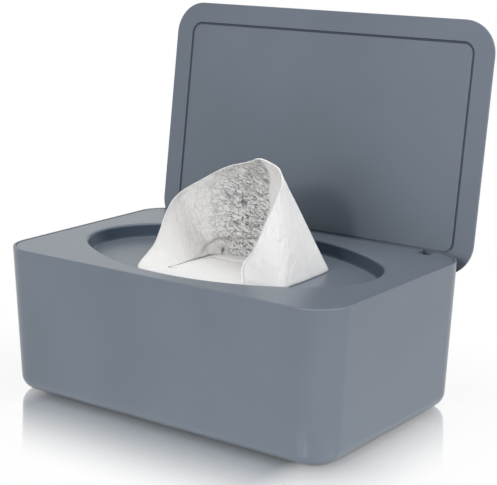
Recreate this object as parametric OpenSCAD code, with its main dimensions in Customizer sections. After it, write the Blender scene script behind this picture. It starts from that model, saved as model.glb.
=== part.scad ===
// Countertop wipes dispenser: a drafted tub with a lift-off deck, a flip lid
// on two short hinge pins, a stack of folded wipes and one wipe pulled up
// through the soft lip. Millimetres, +Z up, front towards -Y, origin on the
// resting plane under the middle of the tub.

/* [Body] */
// Width of the tub at its rim
body_w = 190; // [170:1:220]
// Depth of the tub at its rim, front to rear
body_d = 123; // [115:1:150]
// Height of the rim above the surface it stands on
rim_z = 73; // [66:1:95]
// Radius of the upright corners, seen from above
corner_r = 16.5; // [14:0.5:22]
// How far each wall leans in from the rim down to the base
draft = 3.2; // [1:0.1:5]
// Radius of the rolled bottom edge
base_round = 7; // [4:0.5:8]
// Thickness of the tub's walls
wall_t = 2.4; // [2.2:0.1:3]
// Thickness of the thin rim that stands round the deck
rim_t = 1.3; // [1:0.1:1.6]
// Thickness of the tub's floor
floor_t = 2.6; // [2.2:0.1:4]

/* [Deck and well] */
// Thickness of the deck's top plate
deck_t = 2.4; // [2:0.1:3]
// How far the deck's face lies under the rim
deck_sunk = 0.15; // [0.1:0.05:0.4]
// Half length of the oval well, left to right
well_a = 81.2; // [70:0.2:82]
// Half width of the oval well, front to rear
well_b = 51.6; // [44:0.2:52]
// Middle of the well, forward of the tub's middle
well_fwd = 1.3; // [0:0.1:1.4]
// Radius of the well's tight end arcs
well_end_r = 36.5; // [33:0.5:42]
// Depth of the well
well_deep = 6.4; // [5:0.1:8]
// Radius of the well's soft upper edge
well_edge_r = 2.0; // [1:0.1:2.4]
// Distance from the rim down to the end of the deck's skirt
skirt_drop = 14; // [13:0.5:18]

/* [Dispensing lip] */
// Length of the slot in the well's floor
slot_l = 78; // [60:1:90]
// Width of the slot in the well's floor
slot_w = 30; // [24:1:36]
// Length of the opening left inside the soft lip
lip_l = 62; // [50:1:66]
// Width of the opening left inside the soft lip
lip_w = 15; // [12:0.5:18]

/* [Lid and hinge] */
// Thickness of the closed lid
lid_t = 6.5; // [6:0.1:8]
// Gap between the closed lid and the rim
lid_gap = 0.4; // [0.3:0.1:0.8]
// Width of the flat border outside the seal
border_w = 10.2; // [9.8:0.1:12]
// Corner radius of the seal's groove
seal_corner_r = 6.2; // [4:0.1:8]
// Width of the seal and its groove
seal_w = 1.2; // [1:0.1:1.6]
// How far the open lid leans back past upright, in degrees
lean = 7.6; // [3:0.1:12]
// Hinge axis, forward of the tub's rear edge
axis_in = 4.6; // [4.2:0.1:5]
// Hinge axis, below the rim
axis_drop = 6.1; // [5.5:0.1:6.5]
// Middle of each hinge, left and right of centre
hinge_x = 73.8; // [60:0.2:74]
// Width of the lid's hinge lug
lug_w = 6.6; // [5:0.2:8]
// Radius of the hinge pin
pin_r = 1.2; // [1:0.1:1.3]

/* [Wipes] */
// Length of the folded stack, left to right
stack_l = 166; // [140:2:170]
// Width of the folded stack, front to rear
stack_w = 98; // [80:2:100]
// Number of folded wipes modelled in the stack
stack_n = 16; // [8:1:20]
// Height of one folded wipe
stack_step = 2.9; // [2:0.1:2.9]
// Thickness of the pulled wipe as a closed sheet
wipe_t = 0.9; // [0.6:0.1:1.4]

/* [Hidden] */

plastic = [0.47, 0.51, 0.56];
silicone = [0.28, 0.31, 0.35];
rubber = [0.16, 0.17, 0.19];
steel = [0.78, 0.79, 0.80];
cloth = [0.93, 0.93, 0.93];

eps = 0.01;
foot_r = 6;
foot_h = 2;
foot_out = 0.8;                              // feet stand this far below the tub
tub_z = foot_out;                            // underside of the tub
foot_x = body_w / 2 - draft - 20;
foot_y = body_d / 2 - draft - 18;

ledge_z = rim_z - deck_sunk - deck_t;        // step that carries the deck
deck_top = rim_z - deck_sunk;
fit_gap = 0.3;                               // clearance of drafted walls
edge_r = 0.4;                                // small broken edges

axis_y = body_d / 2 - axis_in;
axis_z = rim_z - axis_drop;
knuckle_r = 2.9;
lug_gap = 0.4;                               // each side of the lug
cheek_t = 3.2;                               // hinge cheeks beside the lug
slot_y = axis_y - knuckle_r - 0.5;           // front of the hinge slot
block_z = axis_z - knuckle_r - 1.9;          // underside of the hinge block
cheek_back = axis_y + 3;                     // rear of the hinge cheeks
stop_z = axis_z - knuckle_r / cos(lean) - tan(lean) * axis_in - fit_gap;

face_z = rim_z + lid_gap;                    // closed lid's inner face
open_turn = -(90 + lean);                    // closed to open, about +X

well_y = -well_fwd;
well_floor = deck_top - well_deep;
well_floor_t = 2;
lip_flange = 3;                              // lip flange past the slot's edge
lip_flange_t = 0.7;
lip_wall = 1.5;                              // lip's wall inside the slot
lip_web = 1.1;                               // lip's thin web that narrows the slot

// Inset of the drafted outer wall from the rim's outline at height z
function lean_in(z) = draft * (rim_z - z) / (rim_z - tub_z);

// Quarter arc as [inset, z] points, from angle a0 to a1 round [ci, cz]
function arc(ci, cz, r, a0, a1, n = 6) =
    [for (k = [0:n]) let (a = a0 + (a1 - a0) * k / n) [ci + r * cos(a), cz + r * sin(a)]];

// ---------- sweeps round a rounded rectangle ----------
// A section is a closed polygon of [inset, z]: inset is measured inwards from
// the outline w by d with corner radius r, so one section makes a whole wall.

module sweep_sides(w, d, r, section) {
    for (turn = [0, 180]) {
        rotate([0, 0, turn]) translate([w / 2 - r, d / 2 - r, 0]) rotate([90, 0, 0])
            linear_extrude(d - 2 * r) polygon([for (p = section) [r - p[0], p[1]]]);
        rotate([0, 0, turn]) translate([-w / 2 + r, d / 2 - r, 0]) rotate([90, 0, 90])
            linear_extrude(w - 2 * r) polygon([for (p = section) [r - p[0], p[1]]]);
    }
}

module sweep_corners(w, d, r, section) {
    for (sx = [-1, 1], sy = [-1, 1])
        translate([sx * (w / 2 - r), sy * (d / 2 - r), 0])
            rotate([0, 0, sx > 0 ? (sy > 0 ? 0 : 270) : (sy > 0 ? 90 : 180)])
                rotate_extrude(angle = 90, $fn = 96)
                    polygon([for (p = section) [r - p[0], p[1]]]);
}

// Closed wall, open in the middle
module swept_ring(w, d, r, section) {
    sweep_sides(w, d, r, section);
    sweep_corners(w, d, r, section);
}

// Solid block whose side follows a profile of [inset, z] from bottom to top
module swept_block(w, d, r, profile) {
    low = profile[0][1];
    high = profile[len(profile) - 1][1];
    section = concat(profile, [[r, high], [r, low]]);
    swept_ring(w, d, r, section);
    translate([-w / 2 + r, -d / 2 + r, low]) cube([w - 2 * r, d - 2 * r, high - low]);
}

// ---------- sweeps round a four-centre oval ----------
// Two tight arcs close the ends and two wide arcs run along the sides.
wide_r = (pow(well_a - well_end_r, 2) + pow(well_b, 2) - pow(well_end_r, 2))
    / (2 * (well_b - well_end_r));
end_x = well_a - well_end_r;
wide_y = wide_r - well_b;
wide_half = atan(end_x / wide_y);

seam_lap = 8;                                // degrees the end arcs run on inside
seam_step = 0.05;                            // the wide arcs stand this far out there
bar_r = well_end_r / 2;                      // bar that fills the oval's middle

module oval_block(profile) {
    low = profile[0][1];
    high = profile[len(profile) - 1][1];
    core_r = wide_r - well_end_r;
    half = 90 - wide_half + seam_lap;
    translate([0, well_y, 0]) {
        for (turn = [0, 180]) rotate([0, 0, turn]) {
            translate([end_x, 0, 0]) rotate([0, 0, -half])
                rotate_extrude(angle = 2 * half, $fn = 96)
                    polygon(concat([for (p = profile) [well_end_r - p[0], p[1]]],
                        [[bar_r / 2, high], [bar_r / 2, low]]));
            translate([0, -wide_y, 0]) rotate([0, 0, 90 - wide_half])
                rotate_extrude(angle = 2 * wide_half, $fn = 240)
                    polygon(concat([for (p = profile) [wide_r + seam_step - p[0], p[1]]],
                        [[core_r, high], [core_r, low]]));
        }
        translate([0, 0, low]) slot_bar(2 * (end_x + bar_r), 2 * bar_r, high - low);
    }
}

// Slot with round ends, centred, lying left to right
module slot_bar(l, w, h) {
    linear_extrude(h) {
        square([l - w, w], center = true);
        for (s = [-1, 1]) translate([s * (l - w) / 2, 0]) circle(d = w, $fn = 64);
    }
}

// ---------- tub ----------
tub_outer = concat(
    arc(lean_in(tub_z + base_round) + base_round, tub_z + base_round, base_round, 270, 180, 8),
    [[0.02, rim_z - edge_r], [0.15, rim_z - 0.12], [edge_r, rim_z]]);

cavity_round = base_round - 2;
cavity_low = tub_z + floor_t;
tub_inner = concat(
    arc(lean_in(cavity_low) + wall_t + cavity_round, cavity_low + cavity_round,
        cavity_round, 270, 180, 6),
    [[wall_t + lean_in(ledge_z), ledge_z + eps]]);

module hinge_sides() for (s = [-1, 1]) translate([s * hinge_x, 0, 0]) children();

module body_tub() color(plastic) difference() {
    swept_block(body_w, body_d, corner_r, tub_outer);
    swept_block(body_w, body_d, corner_r, tub_inner);
    swept_block(body_w, body_d, corner_r, [[rim_t, ledge_z], [rim_t, rim_z + 1]]);
    hinge_sides() {
        // pocket that thins the rear wall behind the hinge cheeks
        translate([-lug_w / 2 - lug_gap - cheek_t - fit_gap, axis_y - 6, block_z - fit_gap])
            cube([lug_w + 2 * (lug_gap + cheek_t + fit_gap), cheek_back - axis_y + 6 + fit_gap,
                rim_z]);
        // notch through the wall for the lug, with the lid's stop at its foot
        translate([-lug_w / 2 - lug_gap, axis_y, stop_z])
            cube([lug_w + 2 * lug_gap, 10, rim_z]);
    }
    for (sx = [-1, 1], sy = [-1, 1]) translate([sx * foot_x, sy * foot_y, tub_z - 1])
        cylinder(r = foot_r + 0.1, h = 1 + foot_h - foot_out, $fn = 64);
}

// Non-slip foot: a disc glued into a round pocket under the tub
module foot(sx, sy) color(rubber) translate([sx * foot_x, sy * foot_y, 0])
    rotate_extrude($fn = 64) polygon([[0, 0], [foot_r - 0.5, 0], [foot_r, 0.5],
        [foot_r, foot_h], [0, foot_h]]);

// ---------- deck ----------
skirt_low = rim_z - skirt_drop;
skirt_t = 1.6;
skirt_mid = skirt_low + 2.6;                 // top of the gasket groove
skirt_foot = skirt_low + 0.8;                // bottom of the gasket groove
groove_t = 0.9;
function skirt_in(z) = wall_t + lean_in(z) + fit_gap;

deck_edge = rim_t + 0.15;
deck_plate = [[deck_edge, ledge_z], [deck_edge, deck_top - edge_r],
    [deck_edge + 0.12, deck_top - 0.12], [deck_edge + edge_r, deck_top]];

deck_skirt = [[skirt_in(skirt_low), skirt_low], [skirt_in(skirt_foot), skirt_foot],
    [skirt_in(skirt_foot) + groove_t, skirt_foot], [skirt_in(skirt_mid) + groove_t, skirt_mid],
    [skirt_in(skirt_mid), skirt_mid], [skirt_in(ledge_z), ledge_z + eps],
    [skirt_in(ledge_z) + skirt_t, ledge_z + eps], [skirt_in(skirt_low) + skirt_t + 0.4, skirt_low]];

well_fillet = 1.6;
well_cut = concat(
    [[well_edge_r + 0.9 + well_fillet, well_floor]],
    arc(well_edge_r + 0.9 + well_fillet, well_floor + well_fillet, well_fillet, 240, 190, 2),
    [for (a = [90:-30:0]) [well_edge_r * sin(a), deck_top - well_edge_r * (1 - cos(a))]],
    [[0, deck_top + 1]]);

bowl = [[4.6, well_floor - well_floor_t], [2.6, well_floor - well_floor_t + 0.6],
    [1.6, well_floor - well_floor_t + 1.8], [0.2, ledge_z + eps]];

module deck_cover() color(plastic) difference() {
    union() {
        swept_block(body_w, body_d, corner_r, deck_plate);
        swept_ring(body_w, body_d, corner_r, deck_skirt);
        oval_block(bowl);
        hinge_sides() translate([-lug_w / 2 - lug_gap - cheek_t, slot_y - 1.6, block_z])
            cube([lug_w + 2 * (lug_gap + cheek_t), cheek_back - slot_y + 1.6, ledge_z - block_z + 1]);
    }
    oval_block(well_cut);
    translate([0, well_y, well_floor - 5]) slot_bar(slot_l, slot_w, 10);
    hinge_sides() {
        translate([-lug_w / 2 - lug_gap, slot_y, axis_z - knuckle_r - 0.5])
            cube([lug_w + 2 * lug_gap, 20, 20]);
        translate([-20, axis_y, axis_z]) rotate([0, 90, 0])
            cylinder(r = pin_r + 0.02, h = 40, $fn = 32);
    }
}

module deck_gasket() color(silicone)
    swept_ring(body_w, body_d, corner_r, let (z0 = skirt_foot + 0.02, z1 = skirt_mid - 0.02)
        [[skirt_in(z0) + groove_t - 0.02, z0], [skirt_in(z0) - 0.1, z0 + 0.2],
        [skirt_in(z0) - 0.22, (z0 + z1) / 2], [skirt_in(z1) - 0.1, z1 - 0.2],
        [skirt_in(z1) + groove_t - 0.02, z1]]);

// Soft lip: an H-section ring that grips the slot's edge and narrows it
module dispensing_lip() color(silicone) {
    top = well_floor + lip_flange_t;
    low = well_floor - well_floor_t - lip_flange_t;
    flange_l = slot_l + 2 * lip_flange;
    flange_w = slot_w + 2 * lip_flange;
    translate([0, well_y, 0]) difference() {
        union() {
            translate([0, 0, well_floor]) slot_bar(flange_l, flange_w, lip_flange_t);
            translate([0, 0, low]) slot_bar(flange_l - 2, flange_w - 2, lip_flange_t);
            translate([0, 0, low]) slot_bar(slot_l - 0.04, slot_w - 0.04, top - low);
        }
        translate([0, 0, low - 1])
            slot_bar(slot_l - 2 * lip_wall, slot_w - 2 * lip_wall, top - low + 1 - lip_web);
        translate([0, 0, low - 1]) slot_bar(lip_l, lip_w, top - low + 2);
    }
}

module hinge_pin(s) color(steel) translate([s * hinge_x, axis_y, axis_z]) rotate([0, 90, 0])
    cylinder(r = pin_r, h = lug_w + 2 * (lug_gap + cheek_t) - 0.6, center = true, $fn = 32);

// ---------- lid, drawn closed and swung open ----------
module swung_open() translate([0, axis_y, axis_z]) rotate([open_turn, 0, 0])
    translate([0, -axis_y, -axis_z]) children();

lid_lip = 0.4;                               // straight part of the lid's edge
lid_flow = 12;                               // how far in the lid's edge curves over
lid_side = concat([[0.25, face_z], [0, face_z + 0.25]],
    [for (a = [0:10:90]) [lid_flow * (1 - cos(a)),
        face_z + lid_lip + (lid_t - lid_lip) * sin(a)]]);
lid_skin = 2.4;
pocket_in = border_w;
pocket_z = face_z + lid_t - lid_skin;
seal_sunk = 0.35;                            // seal's face below the lid's face

// The tub's rear corner passes under the lid while it turns, so the lid's
// border is scooped out there, round the hinge axis. Towards the box's round
// corners the rim draws away from the lid and the scoop runs out.
scoop_r = norm([axis_in, axis_drop]) + fit_gap + 0.1;
scoop_half = body_w / 2 - corner_r;          // straight part, to each side
scoop_run = 9.4;                             // part that follows the round corner
function scoop_at(x) = norm([axis_in - corner_r + sqrt(pow(corner_r, 2) - pow(x, 2)),
    axis_drop]) + fit_gap + 0.1;

module lid_scoop() translate([0, axis_y, axis_z]) rotate([0, 90, 0]) rotate_extrude($fn = 96)
    polygon(concat([[0, -scoop_half - scoop_run], [0, scoop_half + scoop_run]],
        [for (x = [scoop_run:-scoop_run / 4:0]) [scoop_at(x), scoop_half + x]],
        [for (x = [0:scoop_run / 4:scoop_run]) [scoop_at(x), -scoop_half - x]]));

module lid_shell() color(plastic) swung_open() difference() {
    union() {
        difference() {
            swept_block(body_w, body_d, corner_r, lid_side);
            lid_scoop();
        }
        hinge_sides() {
            translate([-lug_w / 2, axis_y - knuckle_r, axis_z])
                cube([lug_w, 2 * knuckle_r, scoop_r + 1]);
            translate([-lug_w / 2, axis_y, axis_z]) rotate([0, 90, 0])
                cylinder(r = knuckle_r, h = lug_w, $fn = 48);
        }
    }
    swept_block(body_w - 2 * pocket_in, body_d - 2 * pocket_in, seal_corner_r,
        [[0, face_z - 1], [0, pocket_z]]);
    hinge_sides() translate([-lug_w, axis_y, axis_z]) rotate([0, 90, 0])
        cylinder(r = pin_r + 0.05, h = 2 * lug_w, $fn = 32);
}

liner_t = 2.2;
liner_foot = 1.2;                            // flange that holds the liner in its pocket
module lid_liner() color(plastic) swung_open() {
    w = body_w - 2 * pocket_in;
    d = body_d - 2 * pocket_in;
    swept_block(w, d, seal_corner_r, [[seal_w + 0.25, face_z], [seal_w, face_z + 0.25],
        [seal_w, face_z + liner_t]]);
    swept_ring(w, d, seal_corner_r, [[seal_w, face_z + liner_t - eps],
        [seal_w, pocket_z - liner_foot], [0.1, pocket_z - liner_foot], [0.1, pocket_z],
        [seal_w + 2, pocket_z], [seal_w + 2, face_z + liner_t - eps]]);
}

module lid_seal() color(silicone) swung_open()
    swept_ring(body_w - 2 * pocket_in, body_d - 2 * pocket_in, seal_corner_r,
        [[0.03, face_z + seal_sunk + 0.2], [seal_w / 2, face_z + seal_sunk],
        [seal_w - 0.03, face_z + seal_sunk + 0.2], [seal_w - 0.03, pocket_z - liner_foot],
        [0.03, pocket_z - liner_foot]]);

// ---------- folded stack ----------
stack_z = cavity_low;
stack_top = stack_z + stack_n * stack_step;
cut_in = 1.6;                                // cut edges lie inside the folds

// One end of a layer: a round fold, or the cut edges of the wipes inside it
function layer_end(k, folded) = folded
    ? [for (a = [-90:30:90]) [stack_w / 2 - stack_step / 2 * (1 - cos(a)),
        stack_z + stack_step * (k + 0.5 + sin(a) / 2)]]
    : [for (f = [0.06, 0.5, 0.94]) [stack_w / 2 - cut_in, stack_z + stack_step * (k + f)]];

function flipped(v) = [for (k = [len(v) - 1:-1:0]) [-v[k][0], v[k][1]]];

module wipes_stack() color(cloth) translate([-stack_l / 2, 0, 0]) rotate([90, 0, 90])
    linear_extrude(stack_l) polygon(concat(
        [for (k = [0:stack_n - 1]) each layer_end(k, k % 2 == 0)],
        [for (k = [stack_n - 1:-1:0]) each flipped(layer_end(k, k % 2 == 1))]));

// ---------- pulled wipe ----------
// Stations go round the wipe as it leaves the lip: its flat front part, the
// left fold, the back and the right-hand flap. Each holds a point in the lip,
// one where the sheet turns up, one half way up and one on the hem. Heights
// are above the well's floor.
wipe_stations = [
    [[18.5, 0.4, 0], [24.4, -20.5, 1.15], [27.5, -29, 0.7], [30, -36, 0.7]],
    [[8, 0.3, 0], [9, -20, 1.4], [8, -30, 0.9], [6, -40, 0.8]],
    [[-6, 0.3, 0], [-6, -21, 1.4], [-8, -31, 1.2], [-11, -41, 1]],
    [[-11.3, 0.6, 0], [-18.5, -25, 1.4], [-22, -32, 1.6], [-27, -38, 2]],
    [[-13.1, 1.4, 0], [-19.5, -19, 1.6], [-22.5, -24, 8.5], [-24.5, -28, 13]],
    [[-13.9, 2.6, 0], [-19.5, -10, 1.8], [-24, -14, 18], [-25.2, -18, 27]],
    [[-13.2, 4, 0], [-19, -1, 1.8], [-23.5, -6, 22], [-24, -10, 34]],
    [[-11.3, 4.8, 0], [-18, 8, 1.8], [-18, 0, 25], [-15, -5, 40.5]],
    [[-7, 5, 0], [-9, 15, 1.8], [-6, 8, 28], [-3, -2, 47.5]],
    [[-2, 5, 0], [7, 20, 1.6], [9, 12, 32], [9, 0, 51.2]],
    [[10, 5, 0], [25, 24, 1.4], [23, 15, 32], [16, 0, 53.4]],
    [[20, 4.9, 0], [41.5, 21, 1.2], [35.5, 9.5, 26], [26, -1, 50.5]],
    [[23.4, 4, 0], [44.5, 3, 1.5], [40, -1, 22], [31, -6, 46]],
    [[24.8, 2.6, 0], [43.8, -20.5, 1.2], [39.5, -15, 20], [33.5, -11, 42]],
    [[23.8, 1.2, 0], [27.9, -30.7, 2.05], [28.3, -24, 17], [32.6, -13.4, 35.5]]];

wipe_cols = 36;                              // columns of the sheet, side to side
tail_rows = 3;                               // rows from the stack up into the lip
floor_rows = 3;                              // rows from the lip to the turn
wall_rows = 8;                               // rows from the turn to the hem
tail_low = stack_top + 0.5 - well_floor;
tail_high = 0.6;
lip_run = 1.7;                               // sheet's height where it leaves the lip

function mix(a, b, f) = a * (1 - f) + b * f;

// Smooth curve through the entries of v, also past both ends
function entry(v, k) = k < 0 ? 2 * v[0] - v[1]
    : k < len(v) ? v[k] : 2 * v[len(v) - 1] - v[len(v) - 2];
function glide(v, u) = let (k = min(floor(u), len(v) - 2), f = u - k,
    a = entry(v, k - 1), b = v[k], c = v[k + 1], d = entry(v, k + 2))
    b + f / 2 * ((c - a) + f * ((2 * a - 5 * b + 4 * c - d) + f * (3 * b - a - 3 * c + d)));

// One column of the sheet, from the stack to the hem
function wipe_column(s) = let (slot = s[0], base = s[1], hem = s[3],
    bow = 2 * s[2] - (base + hem) / 2) concat(
    [for (j = [0:tail_rows - 1]) let (f = j / tail_rows)
        [slot.x * mix(0.9, 1, f), slot.y * mix(0.8, 0.9, f), mix(tail_low, tail_high, f)]],
    [[slot.x, slot.y * 0.95, tail_high + 0.3]],
    [for (j = [1:floor_rows]) let (f = j / (floor_rows + 1))
        [mix(slot.x, base.x, f), mix(slot.y, base.y, f), mix(lip_run, base.z, f)]],
    [for (j = [0:wall_rows]) let (f = j / wall_rows)
        mix(mix(base, bow, f), mix(bow, hem, f), f)]);

wipe_mid = [for (i = [0:wipe_cols - 1])
    [for (p = wipe_column(glide(wipe_stations, i * (len(wipe_stations) - 1) / (wipe_cols - 1))))
        p + [0, 0, well_floor]]];
wipe_rows = len(wipe_mid[0]);

function sheet_side(i, j) = let (m = wipe_mid,
    n = cross(m[min(i + 1, wipe_cols - 1)][j] - m[max(i - 1, 0)][j],
        m[i][min(j + 1, wipe_rows - 1)] - m[i][max(j - 1, 0)])) n / norm(n);

module pulled_wipe() {
    cells = wipe_cols * wipe_rows;
    points = [for (side = [1, -1], i = [0:wipe_cols - 1], j = [0:wipe_rows - 1])
        wipe_mid[i][j] + side * wipe_t / 2 * sheet_side(i, j)];
    function id(side, i, j) = side * cells + i * wipe_rows + j;
    last_i = wipe_cols - 1;
    last_j = wipe_rows - 1;
    // each cell is two triangles on both sides, and a band closes the edge
    quads = concat(
        [for (i = [0:last_i - 1], j = [0:last_j - 1])
            [id(0, i, j), id(0, i, j + 1), id(0, i + 1, j + 1), id(0, i + 1, j)]],
        [for (i = [0:last_i - 1], j = [0:last_j - 1])
            [id(1, i + 1, j), id(1, i + 1, j + 1), id(1, i, j + 1), id(1, i, j)]],
        [for (i = [0:last_i - 1])
            [id(0, i, 0), id(0, i + 1, 0), id(1, i + 1, 0), id(1, i, 0)]],
        [for (i = [0:last_i - 1])
            [id(0, i + 1, last_j), id(0, i, last_j), id(1, i, last_j), id(1, i + 1, last_j)]],
        [for (j = [0:last_j - 1])
            [id(0, 0, j + 1), id(0, 0, j), id(1, 0, j), id(1, 0, j + 1)]],
        [for (j = [0:last_j - 1])
            [id(0, last_i, j), id(0, last_i, j + 1), id(1, last_i, j + 1), id(1, last_i, j)]]);
    color(cloth) polyhedron(points,
        [for (q = quads) each [[q[0], q[1], q[2]], [q[0], q[2], q[3]]]], convexity = 6);
}

body_tub();
foot(-1, -1);  // foot_front_left
foot(1, -1);  // foot_front_right
foot(-1, 1);  // foot_rear_left
foot(1, 1);  // foot_rear_right
wipes_stack();
deck_cover();
deck_gasket();
dispensing_lip();
hinge_pin(-1);  // hinge_pin_left
hinge_pin(1);  // hinge_pin_right
pulled_wipe();
lid_shell();
lid_liner();
lid_seal();
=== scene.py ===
"""Looks of a countertop wipes dispenser: slate plastic box and lid, soft seals, wipes and studio.

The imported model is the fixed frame. The rigid pieces keep their solids and get procedural
finishes; the pulled wipe and the folded stack are modelled here as cloth. Lengths in the
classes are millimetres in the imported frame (+Z up, front towards -Y) unless they say metres.
"""

import logging
import math
from dataclasses import dataclass, field, replace
from enum import Enum
from typing import Optional, Sequence, Union

import bpy
import numpy as np
from mathutils import Matrix, Vector, noise


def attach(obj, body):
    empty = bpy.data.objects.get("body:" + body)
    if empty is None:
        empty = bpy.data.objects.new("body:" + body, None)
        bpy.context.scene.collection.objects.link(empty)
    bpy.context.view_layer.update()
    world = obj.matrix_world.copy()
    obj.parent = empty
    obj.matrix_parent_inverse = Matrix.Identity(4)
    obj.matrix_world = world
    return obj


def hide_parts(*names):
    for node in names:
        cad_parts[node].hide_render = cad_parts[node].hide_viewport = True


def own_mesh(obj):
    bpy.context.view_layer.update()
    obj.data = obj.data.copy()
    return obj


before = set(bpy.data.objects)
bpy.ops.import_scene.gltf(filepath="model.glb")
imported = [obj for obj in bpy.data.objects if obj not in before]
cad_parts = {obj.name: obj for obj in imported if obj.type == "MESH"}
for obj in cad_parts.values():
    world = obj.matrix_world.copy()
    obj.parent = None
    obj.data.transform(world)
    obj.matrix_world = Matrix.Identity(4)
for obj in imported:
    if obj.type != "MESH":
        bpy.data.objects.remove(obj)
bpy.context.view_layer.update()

LOG = logging.getLogger("wipes_dispenser")
MM = 0.001
SMOOTH_BELOW = math.radians(50)
SENSOR_MM = 36.0
WHITE = (1.0, 1.0, 1.0, 1.0)
FALLING = (1.0, 0.0)

Pair = tuple[float, float]
Colour = tuple[float, float, float]
Rgba = tuple[float, float, float, float]
Point = tuple[float, float, float]
Socket = bpy.types.NodeSocket
Input = Union[Socket, float, int, Sequence[float]]


class Slot(Enum):
    """Material slots of the record."""

    SLATE = "slate_plastic"
    LIP = "lip_silicone"
    SEAL = "seal_silicone"
    FOOT = "foot_rubber"
    PIN = "pin_steel"
    CLOTH = "wipe_cloth"


class Body(Enum):
    """Bodies that the cloth rides on."""

    BASE = "base"
    DECK = "deck"


class Held(Enum):
    """How a sheet of cloth is held."""

    GATHERED = "gathered"
    FOLDED = "folded"


# ---------------------------------------------------------------- node wiring


@dataclass
class Wiring:
    """Adds and joins the nodes of one material or world.

    Args:
        tree: the node tree to build in.
    """

    tree: bpy.types.NodeTree

    def add(self, kind: str, inputs: Optional[dict[str, Input]] = None,
            **settings: object) -> bpy.types.Node:
        """Adds a node.

        Args:
            kind: the node's type name.
            inputs: values or sockets for its inputs, by name.
            settings: properties of the node.

        Returns:
            The new node.
        """
        node = self.tree.nodes.new(kind)
        for name, value in settings.items():
            setattr(node, name, value)
        self.fill(node, inputs or {})
        return node

    def fill(self, node: bpy.types.Node, inputs: dict[str, Input]) -> None:
        """Joins or sets several inputs of a node, by name."""
        for name, value in inputs.items():
            self.put(node.inputs[name], value)

    def put(self, into: Socket, value: Input) -> None:
        """Joins a socket to an input, or sets the input to a plain value.

        Args:
            into: the input.
            value: a socket, or what the input itself is set to.
        """
        if isinstance(value, bpy.types.NodeSocket):
            self.tree.links.new(value, into)
        else:
            into.default_value = value

    def maths(self, operation: str, *values: Input) -> Socket:
        """Adds a Math node.

        Args:
            operation: what it does with the values.
            values: its inputs, in order.

        Returns:
            Its result.
        """
        node = self.add("ShaderNodeMath", operation=operation)
        for into, value in zip(node.inputs, values):
            self.put(into, value)
        return node.outputs[0]

    def times(self, first: Input, *others: Input) -> Socket:
        """Multiplies values.

        Args:
            first: the first value.
            others: the values that it is multiplied by.

        Returns:
            The product of them all.
        """
        for other in others:
            first = self.maths("MULTIPLY", first, other)
        return first

    def step(self, value: Input, low: float, high: float, out: Pair = (0.0, 1.0)) -> Socket:
        """Returns a smooth step of value from out[0] at low to out[1] at high."""
        node = self.add("ShaderNodeMapRange",
                        {"Value": value, "From Min": low, "From Max": high,
                         "To Min": out[0], "To Max": out[1]}, interpolation_type="SMOOTHSTEP")
        return node.outputs["Result"]

    def tint(self, factor: Input, first: Input, second: Input, way: str = "MIX") -> Socket:
        """Mixes two colours.

        Args:
            factor: share of the second colour.
            first: linear RGBA, or a socket.
            second: linear RGBA, or a socket.
            way: how the second is laid on the first.

        Returns:
            The mixed colour.
        """
        node = self.add("ShaderNodeMix", data_type="RGBA", blend_type=way)
        for index, value in ((0, factor), (6, first), (7, second)):
            self.put(node.inputs[index], value)
        return node.outputs[2]

    def blend(self, factor: Input, first: Socket, second: Socket) -> Socket:
        """Mixes two shaders.

        Args:
            factor: share of the second shader.
            first: the first shader.
            second: the second shader.

        Returns:
            The mixed shader.
        """
        node = self.add("ShaderNodeMixShader")
        for index, value in enumerate((factor, first, second)):
            self.put(node.inputs[index], value)
        return node.outputs[0]

    def place(self) -> Socket:
        """Returns the Object coordinates of the piece."""
        return self.add("ShaderNodeTexCoord").outputs["Object"]

    def axes(self, place: Socket) -> tuple[Socket, Socket, Socket]:
        """Returns the X, Y and Z of the coordinates."""
        parts = self.add("ShaderNodeSeparateXYZ", {"Vector": place})
        return parts.outputs["X"], parts.outputs["Y"], parts.outputs["Z"]

    def sheet_place(self) -> Socket:
        """Returns the piece's own UV map, in millimetres of cloth."""
        return self.add("ShaderNodeUVMap", uv_map="cloth").outputs["UV"]

    def stretched(self, place: Socket, scale: Point) -> Socket:
        """Returns the coordinates scaled along each axis."""
        return self.add("ShaderNodeMapping", {"Vector": place, "Scale": scale}).outputs["Vector"]

    def cloud(self, place: Socket, scale: float, detail: float = 4.0, rough: float = 0.55,
              twist: float = 0.0) -> Socket:
        """Returns a noise value at a scale, in cells per unit of the coordinates."""
        return self.add("ShaderNodeTexNoise",
                        {"Vector": place, "Scale": scale, "Detail": detail,
                         "Roughness": rough, "Distortion": twist}).outputs[0]

    def mark(self, name: str) -> Socket:
        """Returns a named attribute of the mesh as a value."""
        return self.add("ShaderNodeAttribute", attribute_name=name).outputs["Fac"]

    def bump(self, height: Input, depth: float, strength: float = 1.0,
             normal: Optional[Socket] = None) -> Socket:
        """Bumps the surface by a height.

        Args:
            height: the height, 0 to 1.
            depth: metres of its full step.
            strength: share of the bump that shows.
            normal: the normal that it is laid on, if there is one.

        Returns:
            The bumped normal.
        """
        node = self.add("ShaderNodeBump",
                        {"Height": height, "Distance": depth, "Strength": strength})
        if normal is not None:
            self.put(node.inputs["Normal"], normal)
        return node.outputs[0]


def fresh_material(name: str) -> tuple[bpy.types.Material, Wiring, bpy.types.Node]:
    """Makes an empty material.

    Args:
        name: its name.

    Returns:
        The material, its wiring, and its Principled node, joined to the output.
    """
    material = bpy.data.materials.new(name)
    material.use_nodes = True
    wiring = Wiring(material.node_tree)
    return material, wiring, material.node_tree.nodes["Principled BSDF"]


def opaque(colour: Colour, share: float = 1.0) -> Rgba:
    """Returns a share of a linear colour, with full alpha."""
    red, green, blue = (c * share for c in colour)
    return red, green, blue, 1.0


# ---------------------------------------------------------------- finishes


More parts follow.
